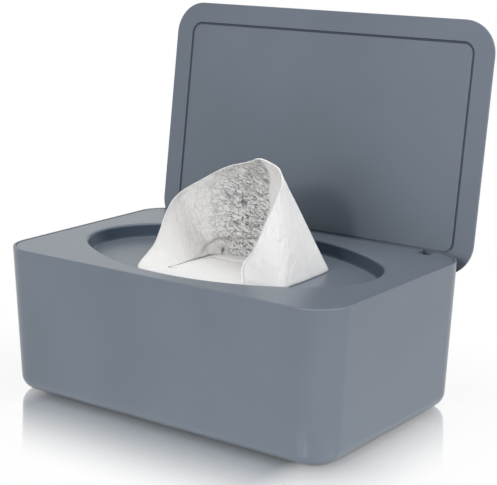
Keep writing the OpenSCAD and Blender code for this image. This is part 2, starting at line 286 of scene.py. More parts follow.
class Finish:
    """What a piece is made of."""

    def make(self, name: str) -> bpy.types.Material:
        """Makes the material.

        Args:
            name: its name.

        Returns:
            The material.
        """
        material, w, skin = fresh_material(name)
        self.paint(w, skin)
        return material

    def paint(self, w: Wiring, skin: bpy.types.Node) -> None:
        """Wires the finish to the Principled node. Each finish has its own."""
        raise NotImplementedError


@dataclass(frozen=True)
class PaintedShadeBand:
    """Painted shade: darker band on a moulding where a wall stands in a recess. Lengths are metres.

    Args:
        low: height where the band starts.
        high: height where it ends.
        soft: distance over which it fades at the top; a quarter of that at the bottom.
        behind: Y behind which it is at its full depth.
        approach: distance in front of that over which it comes in.
        aside: X, to either side, where it ends.
        rear: Y where it ends.
        edge: distance over which it ends at the sides and rear.
        keep: share of red, green and blue that stays in it.
        matt: roughness that it adds.
    """

    low: float = 0.06642
    high: float = 0.0728
    soft: float = 0.0011
    behind: float = 0.002
    approach: float = 0.02
    aside: float = 0.0875
    rear: float = 0.0545
    edge: float = 0.001
    keep: Colour = (0.21, 0.265, 0.325)
    matt: float = 0.4

    def share(self, w: Wiring, place: Socket) -> Socket:
        """Returns 1 inside the band and 0 outside it."""
        x, y, z = w.axes(place)
        return w.times(w.step(z, self.low, self.low + self.soft / 4),
                       w.step(z, self.high - self.soft, self.high, FALLING),
                       w.step(y, self.behind - self.approach, self.behind),
                       w.step(w.maths("ABSOLUTE", x), self.aside - self.edge, self.aside, FALLING),
                       w.step(y, self.rear - self.edge, self.rear, FALLING))

    def tinted(self, colour: Colour) -> Rgba:
        """Returns a moulding's colour as it is darkened by the painted shade inside the band."""
        red, green, blue = (c * k for c, k in zip(colour, self.keep))
        return red, green, blue, 1.0


@dataclass(frozen=True)
class SlatePlastic(Finish):
    """Moulded slate-grey plastic with a fine eroded grain.

    Args:
        colour: linear base colour.
        roughness: mean roughness of the satin surface.
        wander: how far the roughness strays from its mean.
        wander_cells: cells per metre of that.
        tone: darkest and palest share of the colour, in a slow drift.
        tone_cells: cells per metre of that.
        grain: metres from one grain to the next.
        depth: metres of the grain's relief.
        fleck: share of the pale colour that the grain's peaks add.
        gloss: specular level.
        gloss_tint: linear colour of the gloss.
        band: band of painted shade on this moulding, if it has one.
    """

    colour: Colour = (0.157, 0.181, 0.216)
    roughness: float = 0.29
    wander: float = 0.01
    wander_cells: float = 22.0
    tone: Pair = (0.955, 1.05)
    tone_cells: float = 14.0
    grain: float = 0.0005
    depth: float = 0.000002
    fleck: float = 0.03
    gloss: float = 0.36
    gloss_tint: Colour = (0.78, 0.90, 1.0)
    band: Optional[PaintedShadeBand] = None

    def paint(self, w: Wiring, skin: bpy.types.Node) -> None:
        """Lays the tone, the grain and the band of painted shade on the surface.

        Args:
            w: the material's wiring.
            skin: its Principled node.
        """
        place = w.place()
        drift = w.cloud(place, self.tone_cells, 3.0)
        grains = w.cloud(place, 1 / self.grain, 2.0, 0.6)
        deep, pale = (opaque(self.colour, share) for share in self.tone)
        colour = w.tint(w.step(drift, 0.3, 0.7), deep, pale)
        colour = w.tint(w.step(grains, 0.35, 0.75, (0.0, self.fleck)), colour, pale, "ADD")
        rough = w.step(w.cloud(place, self.wander_cells, 1.0), 0.25, 0.75,
                       (self.roughness - self.wander, self.roughness + self.wander))
        # painted shade: the band darkens the colour and makes it rougher
        if self.band:
            inside = self.band.share(w, place)
            colour = w.tint(inside, colour, self.band.tinted(self.colour))
            rough = w.maths("ADD", rough, w.times(inside, self.band.matt))
        w.fill(skin, {"Base Color": colour, "Roughness": rough,
                      "Specular IOR Level": self.gloss,
                      "Specular Tint": opaque(self.gloss_tint),
                      "Normal": w.bump(grains, self.depth)})


@dataclass(frozen=True)
class SoftRubber(Finish):
    """Silicone or rubber: matt, with a faint powdery bloom.

    Args:
        colour: linear base colour.
        roughness: roughness between the bloom's flecks.
        spread: how much smoother it gets, and how much rougher.
        bloom: how much paler the bloom is.
        bloom_cells: cells per metre of the bloom.
        pore_cells: cells per metre of the surface's pores.
        pore_depth: metres of their relief.
        gloss: specular level.
        worn_below: metres of height below which it has the colour of the moulding beside it.
        worn_edge: metres over which that ends.
        worn: that colour.
    """

    colour: Colour
    roughness: float = 0.62
    spread: Pair = (0.06, 0.08)
    bloom: float = 1.25
    bloom_cells: float = 450.0
    pore_cells: float = 2600.0
    pore_depth: float = 0.00001
    gloss: float = 0.35
    worn_below: float = 0.0
    worn_edge: float = 0.001
    worn: Colour = (0.150, 0.172, 0.205)

    def paint(self, w: Wiring, skin: bpy.types.Node) -> None:
        """Lays the bloom, the pores and the worn run on the surface.

        Args:
            w: the material's wiring.
            skin: its Principled node.
        """
        place = w.place()
        dust = w.cloud(place, self.bloom_cells, 5.0, 0.6)
        plain, dusty = opaque(self.colour), opaque(self.colour, self.bloom)
        colour = w.tint(w.step(dust, 0.4, 0.8), plain, dusty)
        if self.worn_below:
            height = w.axes(place)[2]
            low = w.step(height, self.worn_below - self.worn_edge, self.worn_below, FALLING)
            colour = w.tint(low, colour, opaque(self.worn))
        smoother, rougher = self.spread
        rough = w.step(dust, 0.2, 0.8, (self.roughness - smoother, self.roughness + rougher))
        pores = w.cloud(place, self.pore_cells, 2.0)
        w.fill(skin, {"Base Color": colour, "Roughness": rough, "Specular IOR Level": self.gloss,
                      "Normal": w.bump(pores, self.pore_depth)})


@dataclass(frozen=True)
class DrawnSteel(Finish):
    """Hinge pin wire: bright steel with fine lines drawn along it.

    Args:
        colour: linear base colour.
        tone: darkest and palest share of the colour in the lines.
        roughness: roughness of the smoothest lines.
        spread: how much rougher the others are.
        line_cells: cells of the lines per metre along each axis.
        depth: metres of the lines' relief.
    """

    colour: Colour = (0.62, 0.63, 0.64)
    tone: Pair = (0.9, 1.06)
    roughness: float = 0.26
    spread: float = 0.12
    line_cells: Point = (60.0, 4000.0, 4000.0)
    depth: float = 0.000006

    def paint(self, w: Wiring, skin: bpy.types.Node) -> None:
        """Lays the drawn lines on the surface.

        Args:
            w: the material's wiring.
            skin: its Principled node.
        """
        lines = w.cloud(w.stretched(w.place(), self.line_cells), 1.0, 3.0)
        deep, pale = (opaque(self.colour, share) for share in self.tone)
        rough = w.step(lines, 0.3, 0.7, (self.roughness, self.roughness + self.spread))
        w.fill(skin, {"Base Color": w.tint(lines, deep, pale), "Roughness": rough,
                      "Metallic": 1.0, "Normal": w.bump(lines, self.depth)})


@dataclass(frozen=True)
class Cloud:
    """Noise on a surface, stretched along its axes.

    Args:
        stretch: how much finer it is along each axis.
        scale: cells per unit of the stretched coordinates.
        detail: how many finer layers it has.
        rough: how strong they are.
        twist: how far it is bent.
    """

    stretch: Point
    scale: float = 1.0
    detail: float = 4.0
    rough: float = 0.6
    twist: float = 0.0

    def at(self, w: Wiring, place: Socket) -> Socket:
        """Returns its value at the place."""
        place = w.stretched(place, self.stretch)
        return w.cloud(place, self.scale, self.detail, self.rough, self.twist)


@dataclass(frozen=True)
class WipeCloth(Finish):
    """Damp nonwoven cloth: crossed fibres, and an embossed crumple where the sheet says so.

    The mesh carries the attributes "crumple" (0 smooth to 1 embossed), "crease_shade" (0 to 1,
    painted shade) and "hem" (0 to 1, painted highlight), and a UV map "cloth" in millimetres.

    Args:
        colour: linear base colour of the fibres.
        thin: share of the colour where few fibres cross.
        thin_share: how much of that shows.
        hollow_shade: linear colour of the shade painted at the bottom of the embossing.
        crease_shade_colour: linear colour of the shade painted in a crease.
        crease_shade_share: how much of that painted shade shows.
        hem_highlight_colour: linear colour of the highlight painted on cut edges and the flat part.
        fibres: the fibres that show.
        strands: the fibres that cross them.
        strand_share: how much the crossing fibres add to the relief.
        strokes: the cloud whose middle line the embossed strokes follow.
        stroke_line: half the width of a stroke, where it starts and ends to fade.
        stroke_share: how much of the painted hollow shade a stroke shows.
        between: how far the cloth between the strokes stands out.
        patches: places where the strokes show.
        speckle: the mottle of painted shade between the strokes.
        mottle_share: how much of the painted hollow shade the mottle shows.
        dents: the slow dents of damp cloth.
        streaks: the long soft streaks of damp cloth.
        streak_share: how much the streaks add to the dents.
        roughness: roughness of the fibres.
        gloss: specular level.
        sheen: weight of the fibres' sheen.
        sheen_roughness: roughness of the sheen.
        emboss: metres of the embossing's relief, and how much of it shows.
        fibre: metres of the fibres' relief, and how much of it shows.
        limp_depth: metres of the slow dents.
    """

    colour: Colour = (0.88, 0.863, 0.85)
    thin: float = 0.80
    thin_share: float = 0.22
    hollow_shade: Colour = (0.12, 0.125, 0.13)
    crease_shade_colour: Colour = (0.05, 0.05, 0.06)
    crease_shade_share: float = 0.85
    hem_highlight_colour: Colour = (0.975, 0.96, 0.95)
    fibres: Cloud = Cloud((2.6, 0.22, 1.0), 1.0, 5.0, 0.65, 0.4)
    strands: Cloud = Cloud((0.9, 3.4, 1.0), 1.0, 4.0, 0.6, 0.8)
    strand_share: float = 0.6
    strokes: Cloud = Cloud((0.62, 1.15, 1.0), 1 / 2.15, 3.5, 0.6, 1.1)
    stroke_line: Pair = (0.014, 0.046)
    stroke_share: float = 0.95
    between: float = 0.8
    patches: Cloud = Cloud((1.0, 1.0, 1.0), 0.26, 4.0, 0.7)
    speckle: Cloud = Cloud((0.7, 1.2, 1.0), 0.55, 4.0, 0.65, 0.6)
    mottle_share: float = 0.14
    dents: Cloud = Cloud((0.36, 0.17, 1.0), 1.0, 3.0, 0.5, 0.5)
    streaks: Cloud = Cloud((0.40, 0.045, 1.0), 1.0, 2.0, 0.5, 0.3)
    streak_share: float = 0.3
    roughness: float = 0.93
    gloss: float = 0.15
    sheen: float = 0.12
    sheen_roughness: float = 0.6
    emboss: Pair = (0.0005, 0.9)
    fibre: Pair = (0.00008, 0.8)
    limp_depth: float = 0.0009

    def paint(self, w: Wiring, skin: bpy.types.Node) -> None:
        """Lays the fibres, the embossing and the limp folds on the cloth.

        Args:
            w: the material's wiring.
            skin: its Principled node.
        """
        uv = w.sheet_place()
        crumple = w.mark("crumple")
        fibres = self.fibres.at(w, uv)
        bent = self.strokes.at(w, uv)
        off_middle = w.maths("ABSOLUTE", w.maths("SUBTRACT", bent, 0.5))
        line = w.step(off_middle, *self.stroke_line, FALLING)
        relief = w.times(w.maths("SUBTRACT", w.times(bent, self.between), line), crumple)
        w.fill(skin, {"Base Color": self.tinted(w, uv, fibres, line, crumple),
                      "Roughness": self.roughness,
                      "Specular IOR Level": self.gloss,
                      "Sheen Weight": self.sheen,
                      "Sheen Roughness": self.sheen_roughness,
                      "Normal": w.bump(relief, *self.emboss, self.limp(w, uv, fibres))})

    def tinted(self, w: Wiring, uv: Socket, fibres: Socket, line: Socket,
               crumple: Socket) -> Socket:
        """Colours the cloth, with painted shade in its hollows and creases, and painted highlight.

        Args:
            w: the material's wiring.
            uv: place on the cloth.
            fibres: how densely the fibres cross.
            line: 1 along an embossed stroke.
            crumple: how far the cloth is embossed.

        Returns:
            The base colour.
        """
        patch = w.step(self.patches.at(w, uv), 0.40, 0.54)
        mottle_shade = w.step(self.speckle.at(w, uv), 0.35, 0.62, (self.mottle_share, 0.0))
        sparse = w.step(fibres, 0.3, 0.7, (0.0, self.thin_share))
        base = w.tint(sparse, opaque(self.colour), opaque(self.colour, self.thin))
        # painted shade in the embossing's hollows: the mottle between the strokes, and the strokes
        base = w.tint(w.times(mottle_shade, crumple), base, opaque(self.hollow_shade))
        base = w.tint(w.times(line, patch, crumple, self.stroke_share), base, opaque(self.hollow_shade))
        # painted shade in the creases, in the gap and under the second fold
        crease_shaded = w.times(w.mark("crease_shade"), self.crease_shade_share)
        base = w.tint(crease_shaded, base, opaque(self.crease_shade_colour))
        # painted highlight on the cut edges and on the flat part
        return w.tint(w.mark("hem"), base, opaque(self.hem_highlight_colour))

    def limp(self, w: Wiring, uv: Socket, fibres: Socket) -> Socket:
        """Dents the limp cloth and crosses its fibres, without the embossing.

        Args:
            w: the material's wiring.
            uv: place on the cloth.
            fibres: how densely the fibres cross.

        Returns:
            The normal.
        """
        streaks = w.times(self.streaks.at(w, uv), self.streak_share)
        slow = w.maths("ADD", self.dents.at(w, uv), streaks)
        off_hem = w.maths("SUBTRACT", 1.0, w.mark("hem"))
        normal = w.bump(w.times(slow, off_hem), self.limp_depth)
        strands = w.times(self.strands.at(w, uv), self.strand_share)
        return w.bump(w.maths("ADD", fibres, strands), *self.fibre, normal)


def dress(names: Sequence[str], material: bpy.types.Material, slot: Slot) -> None:
    """Gives CAD nodes a material.

    Args:
        names: the nodes.
        material: the material for all their slots.
        slot: the record's slot it stands for.
    """
    for name in names:
        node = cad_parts[name]
        node.data.materials.clear()
        node.data.materials.append(material)
        LOG.info("%s: %s", name, slot.value)


# ---------------------------------------------------------------- cloth meshes


@dataclass
class SheetGrid:
    """A sheet of cloth as a grid of points, from which its mesh is made.

    Args:
        points: array of columns by rows by 3, in metres.
        crumple: array of columns by rows, 0 smooth to 1 embossed.
        crease_shade: array of columns by rows, 0 to 1, the shade painted in a crease.
        hem: array of columns by rows, 0 to 1, the highlight painted on cut edges and the flat part.
        thickness: metres.
    """

    points: np.ndarray
    crumple: np.ndarray
    crease_shade: np.ndarray
    hem: np.ndarray
    thickness: float

    def area(self) -> float:
        """Measures the sheet as two triangles for each square of the grid.

        Returns:
            Its area in square metres.
        """
        p = self.points
        a = np.cross(p[1:, :-1] - p[:-1, :-1], p[:-1, 1:] - p[:-1, :-1])
        b = np.cross(p[:-1, 1:] - p[1:, 1:], p[1:, :-1] - p[1:, 1:])
        return float((np.linalg.norm(a, axis=2) + np.linalg.norm(b, axis=2)).sum() / 2)

    def cloth_map(self) -> np.ndarray:
        """Rolls the sheet out flat.

        Returns:
            Each point's place on the flat cloth, in millimetres.
        """
        p = self.points / MM
        across = np.linalg.norm(np.diff(p, axis=0), axis=2).mean(axis=1)
        along = np.linalg.norm(np.diff(p, axis=1), axis=2)
        u = np.concatenate([[0.0], np.cumsum(across)])[:, None] * np.ones(p.shape[1])
        v = np.concatenate([np.zeros((p.shape[0], 1)), np.cumsum(along, axis=1)], axis=1)
        return np.stack([u, v], axis=2)

    def mesh(self, name: str) -> bpy.types.Mesh:
        """Makes the sheet's mesh, still without a thickness.

        Args:
            name: its name.

        Returns:
            The mesh, with its UV map and attributes.
        """
        cols, rows = self.points.shape[:2]
        index = np.arange(cols * rows).reshape(cols, rows)
        quads = np.stack([index[:-1, :-1], index[1:, :-1], index[1:, 1:], index[:-1, 1:]], axis=-1)
        mesh = bpy.data.meshes.new(name)
        mesh.from_pydata(self.points.reshape(-1, 3).tolist(), [], quads.reshape(-1, 4).tolist())
        place = self.cloth_map().reshape(-1, 2)
        layer = mesh.uv_layers.new(name="cloth")
        corners = np.array([loop.vertex_index for loop in mesh.loops])
        layer.data.foreach_set("uv", place[corners].astype(np.float32).ravel())
        for key in ("crumple", "crease_shade", "hem"):
            mark = mesh.attributes.new(key, "FLOAT", "POINT")
            mark.data.foreach_set("value", getattr(self, key).astype(np.float32).ravel())
        return mesh

    def build(self, name: str) -> bpy.types.Object:
        """Makes the sheet's object and gives it its thickness.

        Args:
            name: the piece's name.

        Returns:
            The object, its modifier applied.
        """
        piece = bpy.data.objects.new(name, self.mesh(name))
        bpy.context.scene.collection.objects.link(piece)
        bpy.ops.object.select_all(action="DESELECT")
        bpy.context.view_layer.objects.active = piece
        piece.select_set(True)
        solid = piece.modifiers.new("thickness", "SOLIDIFY")
        solid.thickness = self.thickness
        solid.offset = 0.0
        solid.use_quality_normals = True
        bpy.ops.object.modifier_apply(modifier=solid.name)
        bpy.ops.object.shade_smooth_by_angle(angle=SMOOTH_BELOW)
        return piece


def spline(values: np.ndarray, count: int) -> np.ndarray:
    """Smooth curve through rows of values.

    Args:
        values: array of stations by anything.
        count: how many evenly spaced samples to return.

    Returns:
        The samples, on a Catmull-Rom curve that runs through every station.
    """
    ends = np.concatenate([[2 * values[0] - values[1]], values, [2 * values[-1] - values[-2]]])
    u = np.linspace(0, len(values) - 1, count)
    k = np.minimum(u.astype(int), len(values) - 2)
    f = (u - k).reshape((-1,) + (1,) * (values.ndim - 1))
    a, b, c, d = ends[k], ends[k + 1], ends[k + 2], ends[k + 3]
    return b + f / 2 * ((c - a) + f * ((2 * a - 5 * b + 4 * c - d) + f * (3 * b - a - 3 * c + d)))


def smooth(x: np.ndarray, low: float, high: float) -> np.ndarray:
    """Returns a smooth step of x from 0 at low to 1 at high."""
    t = np.clip((x - low) / (high - low), 0.0, 1.0)
    return t * t * (3 - 2 * t)


def hump(x: np.ndarray, middle: Union[np.ndarray, float], width: float) -> np.ndarray:
    """Returns a bell curve of x, 1 at its middle."""
    return np.exp(-((x - middle) / width) ** 2)


# ---------------------------------------------------------------- pulled wipe


@dataclass(frozen=True)
class Station:
    """One column of the pulled wipe. Heights are above the well's floor, in millimetres.

    Args:
        slot: where the sheet comes out of the lip.
        base: where it turns up.
        mid: half way up.
        hem: its upper edge.
        low_bow: shift at a quarter of the way up.
    """

    slot: Point
    base: Point
    mid: Point
    hem: Point
    low_bow: Point = (0.0, 0.0, 0.0)


STATIONS = (
    Station((18.5, 1.2, 0), (24.4, -20.5, 1.1), (27.5, -29, 0.7), (30, -36, 0.7)),
    Station((8, 1.1, 0), (9, -20, 1.4), (8, -30, 0.9), (6, -40, 0.8)),
    Station((-6, 1.1, 0), (-6, -21, 1.4), (-8, -31, 1.2), (-11, -41, 1)),
    Station((-11.3, 1.3, 0), (-16.4, -28, 1.3), (-22, -33, 1.5), (-27.3, -37.6, 1.9)),
    Station((-12.6, 1.8, 0), (-15.9, -20, 1.5), (-23, -22.1, 7.9), (-27, -25, 12.1)),
    Station((-13.2, 2.2, 0), (-15.4, -11, 1.6), (-26.7, -9.1, 16.6), (-31.3, -10.4, 24.9)),
    Station((-12.8, 2.6, 0), (-14.7, -3.5, 1.6), (-27.4, 0.1, 20.3), (-31.3, -0.8, 31.6)),
    Station((-11, 2.9, 0), (-14.2, 2.6, 1.6), (-20.9, 5.5, 23.7), (-20.4, 2, 38.8)),
    Station((-7, 3, 0), (-8.5, 7.8, 1.6), (-7.8, 9.4, 27.4), (-5.4, 1.2, 46.7)),
    Station((-2, 3.1, 0), (4, 12, 1.6), (9, 11, 32), (9, 0, 51.2)),
    Station((10, 3.2, 0), (24, 20, 0.9), (23, 14, 32), (16, 0, 53.4)),
    Station((20, 3.1, 0), (41.3, 20.6, 0.6), (33.9, 9.5, 26), (26.7, -1, 50.5)),
    Station((23.4, 2.7, 0), (44.3, 3, 0.5), (38.6, -1, 22), (32.6, -6, 46)),
    Station((24.4, 2.3, 0), (44.6, -13, 0.5), (39.3, -8.8, 20.5), (34.2, -9, 43.6)),
    Station((24.8, 1.9, 0), (44, -20.2, 0.5), (38.1, -15.2, 19.6), (34.3, -11, 41.6)),
    Station((24.4, 1.7, 0), (38, -24.6, 0.5), (35.0, -19.9, 18.6), (33.8, -12.2, 39)),
    Station((23.8, 1.4, 0), (27.9, -30.7, 0.8), (30.2, -24, 17), (32.8, -13.4, 35.5),
            (-2.6, -0.6, 0)),
)


@dataclass(frozen=True)
class WipeMarks:
    """Where the pulled wipe is embossed and folded, and where shade and highlight are painted on
    it.

    Places along the wipe are station numbers, and places up its wall are shares of the wall's
    height. A pair named "in" or "out" is where a smooth step starts and where it ends.

    Args:
        emboss_in: where the embossing of the back comes in.
        emboss_full_in: where it comes to its full depth.
        emboss_edge: where it ends at the foot, and how much farther along that is at the hem.
        emboss_blur: half the width of that end.
        emboss_least: its depth before it is full.
        top_fade: places up the wall between which it gets shallower.
        top_loss: how much shallower.
        faint_in: where the faint embossing of the left wing comes in.
        faint: its depth.
        ridge_at: places along the second fold, at the foot of the back.
        ridge_high: how high the fold is at those places.
        fold_in: where it comes in.
        fold_out: where it fades away.
        fold_deep: millimetres that the cloth below it lies farther back.
        fold_foot: from where to where, round the fold, the cloth below it comes forward.
        shade: depth of the shade under it, and half its height.
        shade_in: where that shade comes in.
        turn_line: height of the painted shade in the floor-to-wall crease, and half its width.
        turn_in: where it comes in.
        turn_out: where most of it fades away.
        turn_loss: how much of it fades away.
        gap: place along and up of the shade painted in the small gap behind the second fold.
        gap_size: half its width and height.
        gap_depth: how dark it is.
        rim_out: where the painted highlight along the hem fades away.
        rim_loss: how much of it fades away.
        floor_out: where the part that lies flat ends.
        floor_below: place up the wall below which the cloth counts as flat.
        flat_highlight_share: how much painted highlight the part that lies flat gets.
    """

    emboss_in: Pair = (6.6, 8.1)
    emboss_full_in: Pair = (7.7, 8.5)
    emboss_edge: Pair = (9.24, 0.6)
    emboss_blur: float = 0.07
    emboss_least: float = 0.6
    top_fade: Pair = (0.6, 0.95)
    top_loss: float = 0.35
    faint_in: Pair = (4.3, 5.5)
    faint: float = 0.16
    ridge_at: tuple[float, ...] = (5.5, 6.6, 7.5, 9.0, 12.0)
    ridge_high: tuple[float, ...] = (0.015, 0.11, 0.17, 0.155, 0.14)
    fold_in: Pair = (5.3, 7.7)
    fold_out: Pair = (8.9, 9.9)
    fold_deep: float = 2.2
    fold_foot: Pair = (-0.022, 0.006)
    shade: Pair = (0.28, 0.010)
    shade_in: Pair = (6.9, 7.7)
    turn_line: Pair = (0.004, 0.0115)
    turn_in: Pair = (2.5, 2.8)
    turn_out: Pair = (6.9, 7.6)
    turn_loss: float = 0.75
    gap: Pair = (7.72, 0.045)
    gap_size: Pair = (0.07, 0.024)
    gap_depth: float = 1.5
    rim_out: Pair = (9.8, 11.0)
    rim_loss: float = 0.75
    floor_out: Pair = (2.8, 3.0)
    floor_below: float = -0.012
    flat_highlight_share: float = 0.45

    def embossing(self, u: np.ndarray, t: np.ndarray, standing: np.ndarray) -> np.ndarray:
        """Embosses the inside of the back, up to a line that runs down from the peak.

        Args:
            u: station number of each point.
            t: share of the wall's height.
            standing: 1 on the wall.

        Returns:
            0 smooth to 1 embossed, at each point.
        """
        foot, lean = self.emboss_edge
        edge = foot + lean * smooth(t, 0.5, 1.0)
        coming = smooth(u, *self.emboss_in)
        inside = coming * (1 - smooth(u, edge - self.emboss_blur, edge + self.emboss_blur))
        least = self.emboss_least
        crumple = inside * standing * (least + (1 - least) * smooth(u, *self.emboss_full_in))
        crumple = crumple * (1 - self.top_loss * smooth(t, *self.top_fade))
        wing = self.faint * standing * smooth(u, *self.faint_in) * (1 - coming)
        return np.maximum(crumple, wing)

    def second_fold(self, u: np.ndarray, run: np.ndarray,
                    standing: np.ndarray) -> tuple[np.ndarray, np.ndarray]:
        """Hangs the second fold over the foot of the back.

        Args:
            u: station number of each point.
            run: share of the wall's height, below 0 on the floor.
            standing: 1 on the wall.

        Returns:
            Millimetres that each point is tucked back, and the shade under the fold.
        """
        ridge = np.interp(u, self.ridge_at, self.ridge_high)
        fold = smooth(u, *self.fold_in) * (1 - smooth(u, *self.fold_out)) * standing
        foot, top = self.fold_foot
        below = 1 - smooth(run, ridge + foot, ridge + top)
        tuck = self.fold_deep * fold * below * smooth(run, 0.0, 0.07)
        depth, tall = self.shade
        return tuck, depth * hump(run, ridge + foot, tall) * fold * smooth(u, *self.shade_in)

    def crease_shade_marks(self, u: np.ndarray, run: np.ndarray) -> np.ndarray:
        """Paints shade where the wall turns up, and in the gap behind the second fold.

        Args:
            u: station number of each point.
            run: share of the wall's height, below 0 on the floor.

        Returns:
            How dark the painted shade is at each point.
        """
        turn = hump(run, *self.turn_line) * smooth(u, *self.turn_in)
        turn = turn * (1 - self.turn_loss * smooth(u, *self.turn_out))
        along, high = self.gap
        wide, tall = self.gap_size
        return turn + self.gap_depth * hump(u, along, wide) * hump(run, high, tall)

    def painted_highlight(self, u: np.ndarray, run: np.ndarray) -> np.ndarray:
        """Paints a highlight on the cut edges and, fainter, on the part that lies flat.

        Args:
            u: station number of each point.
            run: share of the wall's height, below 0 on the floor.

        Returns:
            How much painted highlight each point has.
        """
        painted_highlight = np.zeros_like(u)
        painted_highlight[-2:] = painted_highlight[:2] = 1.0
        painted_highlight[:, -1] = 1 - self.rim_loss * smooth(u[:, -1], *self.rim_out)
        low = (run < self.floor_below).astype(float)
        flat = np.maximum(low, 1 - smooth(u, *self.floor_out))
        return np.maximum(painted_highlight, self.flat_highlight_share * flat)


@dataclass
class PulledWipe:
    """The wipe that stands up out of the lip, in the space of its CAD solid.

    Args:
        floor: millimetres of height of the well's floor.
        stack_top: millimetres of height of the folded pile, which the tail starts just above.
        lip_rise: millimetres that the lip's edge lifts the sheet.
        thickness: millimetres of cloth.
        columns: samples from the front edge round to the right flap.
        wall_rows: samples from the turn to the hem.
        floor_rows: samples from the lip to the turn.
        tail_rows: samples from the stack up into the lip.
        stations: the columns that shape it, from the front right edge round the left and back.
        marks: where it is embossed and folded, and where shade and highlight are painted on it.
        flat_area: square metres of cloth, known once it is built.
    """

    floor: float = 66.45
    stack_top: float = 49.8
    lip_rise: float = 1.55
    thickness: float = 0.55
    columns: int = 290
    wall_rows: int = 110
    floor_rows: int = 22
    tail_rows: int = 8
    stations: tuple[Station, ...] = STATIONS
    marks: WipeMarks = WipeMarks()
    flat_area: float = field(default=0.0, init=False)

    @property
    def first_wall_row(self) -> int:
        """Row where the wall starts."""
        return self.tail_rows + self.floor_rows

    @property
    def rows(self) -> int:
        """Rows of the grid."""
        return self.first_wall_row + self.wall_rows

    def lines(self) -> np.ndarray:
        """Runs the sheet up the lip, along the well's floor and up its wall.

        Returns:
            The grid of points, columns by rows by 3, above the well's floor.
        """
        shapes = np.array([[s.slot, s.base, s.mid, s.hem, s.low_bow] for s in self.stations], float)
        made = spline(shapes, self.columns)
        slot, base, mid, hem, bow = (made[:, k, None, :] for k in range(5))
        # the tail widens from the pile up to the lip
        tail_low, tail_high = self.stack_top + 0.5 - self.floor, 0.8
        f = np.linspace(0, 1, self.tail_rows, endpoint=False)[None, :, None]
        narrow = np.concatenate([0.9 + 0.1 * f, 0.8 + 0.12 * f, 0 * f], axis=2)
        climb = np.concatenate([0 * f, 0 * f, tail_low + (tail_high - tail_low) * f], axis=2)
        tail = slot * narrow + climb
        g = np.linspace(0.06, 1, self.floor_rows, endpoint=False)[None, :, None]
        ground = (slot + np.array([0, 0, self.lip_rise])) * (1 - g) + base * g
        # the wall is a curve through its middle point, bowed low down
        t = np.linspace(0, 1, self.wall_rows)[None, :, None]
        rise = 2 * mid - (base + hem) / 2
        wall = (1 - t) ** 2 * base + 2 * t * (1 - t) * rise + t ** 2 * hem
        wall = wall + bow * hump(t, 0.27, 0.16) * smooth(t, 0.0, 0.12)
        return np.concatenate([tail, ground, wall], axis=1)

    def places(self) -> tuple[np.ndarray, np.ndarray]:
        """Places each point on the sheet.

        Returns:
            Its station number, and its share of the wall's height, below 0 on the floor.
        """
        u = np.linspace(0, len(self.stations) - 1, self.columns)[:, None] * np.ones(self.rows)
        run = (np.arange(self.rows) - self.first_wall_row) / (self.wall_rows - 1)
        return u, np.ones((self.columns, 1)) * run

    def relief(self, p: np.ndarray, crumple: np.ndarray) -> np.ndarray:
        """Relief of the embossing and slow waves of the wall.

        Args:
            p: the grid of points.
            crumple: how far each is embossed.

        Returns:
            Millimetres that each point stands out.
        """
        rough = np.zeros(crumple.shape)
        aside = Vector((3, 7, 1))
        for i in range(self.columns):
            for j in range(self.first_wall_row, self.rows):
                q = Vector(p[i, j])
                dent = 0.5 - abs(noise.noise(q * 0.42)) - abs(noise.noise(q * 0.21 + aside))
                rough[i, j] = crumple[i, j] * (0.55 * dent + 0.2 * noise.noise(q * 0.8))
                rough[i, j] += 0.12 * noise.noise(Vector((q.x * 0.4, q.y * 0.4, q.z * 0.05)))
        return rough

    def build(self) -> bpy.types.Object:
        """Makes the sheet, folded and crumpled as the photograph shows it, with painted shade and
        highlight.

        Returns:
            The wipe's object.
        """
        p = self.lines()
        u, run = self.places()
        normal = np.cross(np.gradient(p, axis=0), np.gradient(p, axis=1))
        normal /= np.linalg.norm(normal, axis=2, keepdims=True) + 1e-12
        standing = (run > 0).astype(float)
        crumple = self.marks.embossing(u, np.clip(run, 0, 1), standing)
        tuck, shade = self.marks.second_fold(u, run, standing)
        out = self.relief(p, crumple) * smooth(run, 0.0, 0.05) - tuck
        p = p + normal * out[:, :, None]
        p[:, :, 2] += self.floor
        # painted shade in the creases, in the gap and under the second fold
        crease_shade = np.clip(self.marks.crease_shade_marks(u, run) + shade, 0, 1)
        # painted highlight on the cut edges and on the flat part
        grid = SheetGrid(p * MM, crumple, crease_shade, self.marks.painted_highlight(u, run), self.thickness * MM)
        self.flat_area = grid.area()
        piece = grid.build("pulled_wipe_cloth")
        piece.data.materials.append(WipeCloth().make("wipe_cloth_pulled"))
        return piece

    def fit(self, piece: bpy.types.Object) -> None:
        """Ties the sheet to the deck.

        Args:
            piece: the wipe's object.
        """
        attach(piece, Body.DECK.value)
        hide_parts("pulled_wipe")
        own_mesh(piece)
        LOG.info("pulled wipe: %.5f square metres of cloth", self.flat_area)


# ---------------------------------------------------------------- folded stack


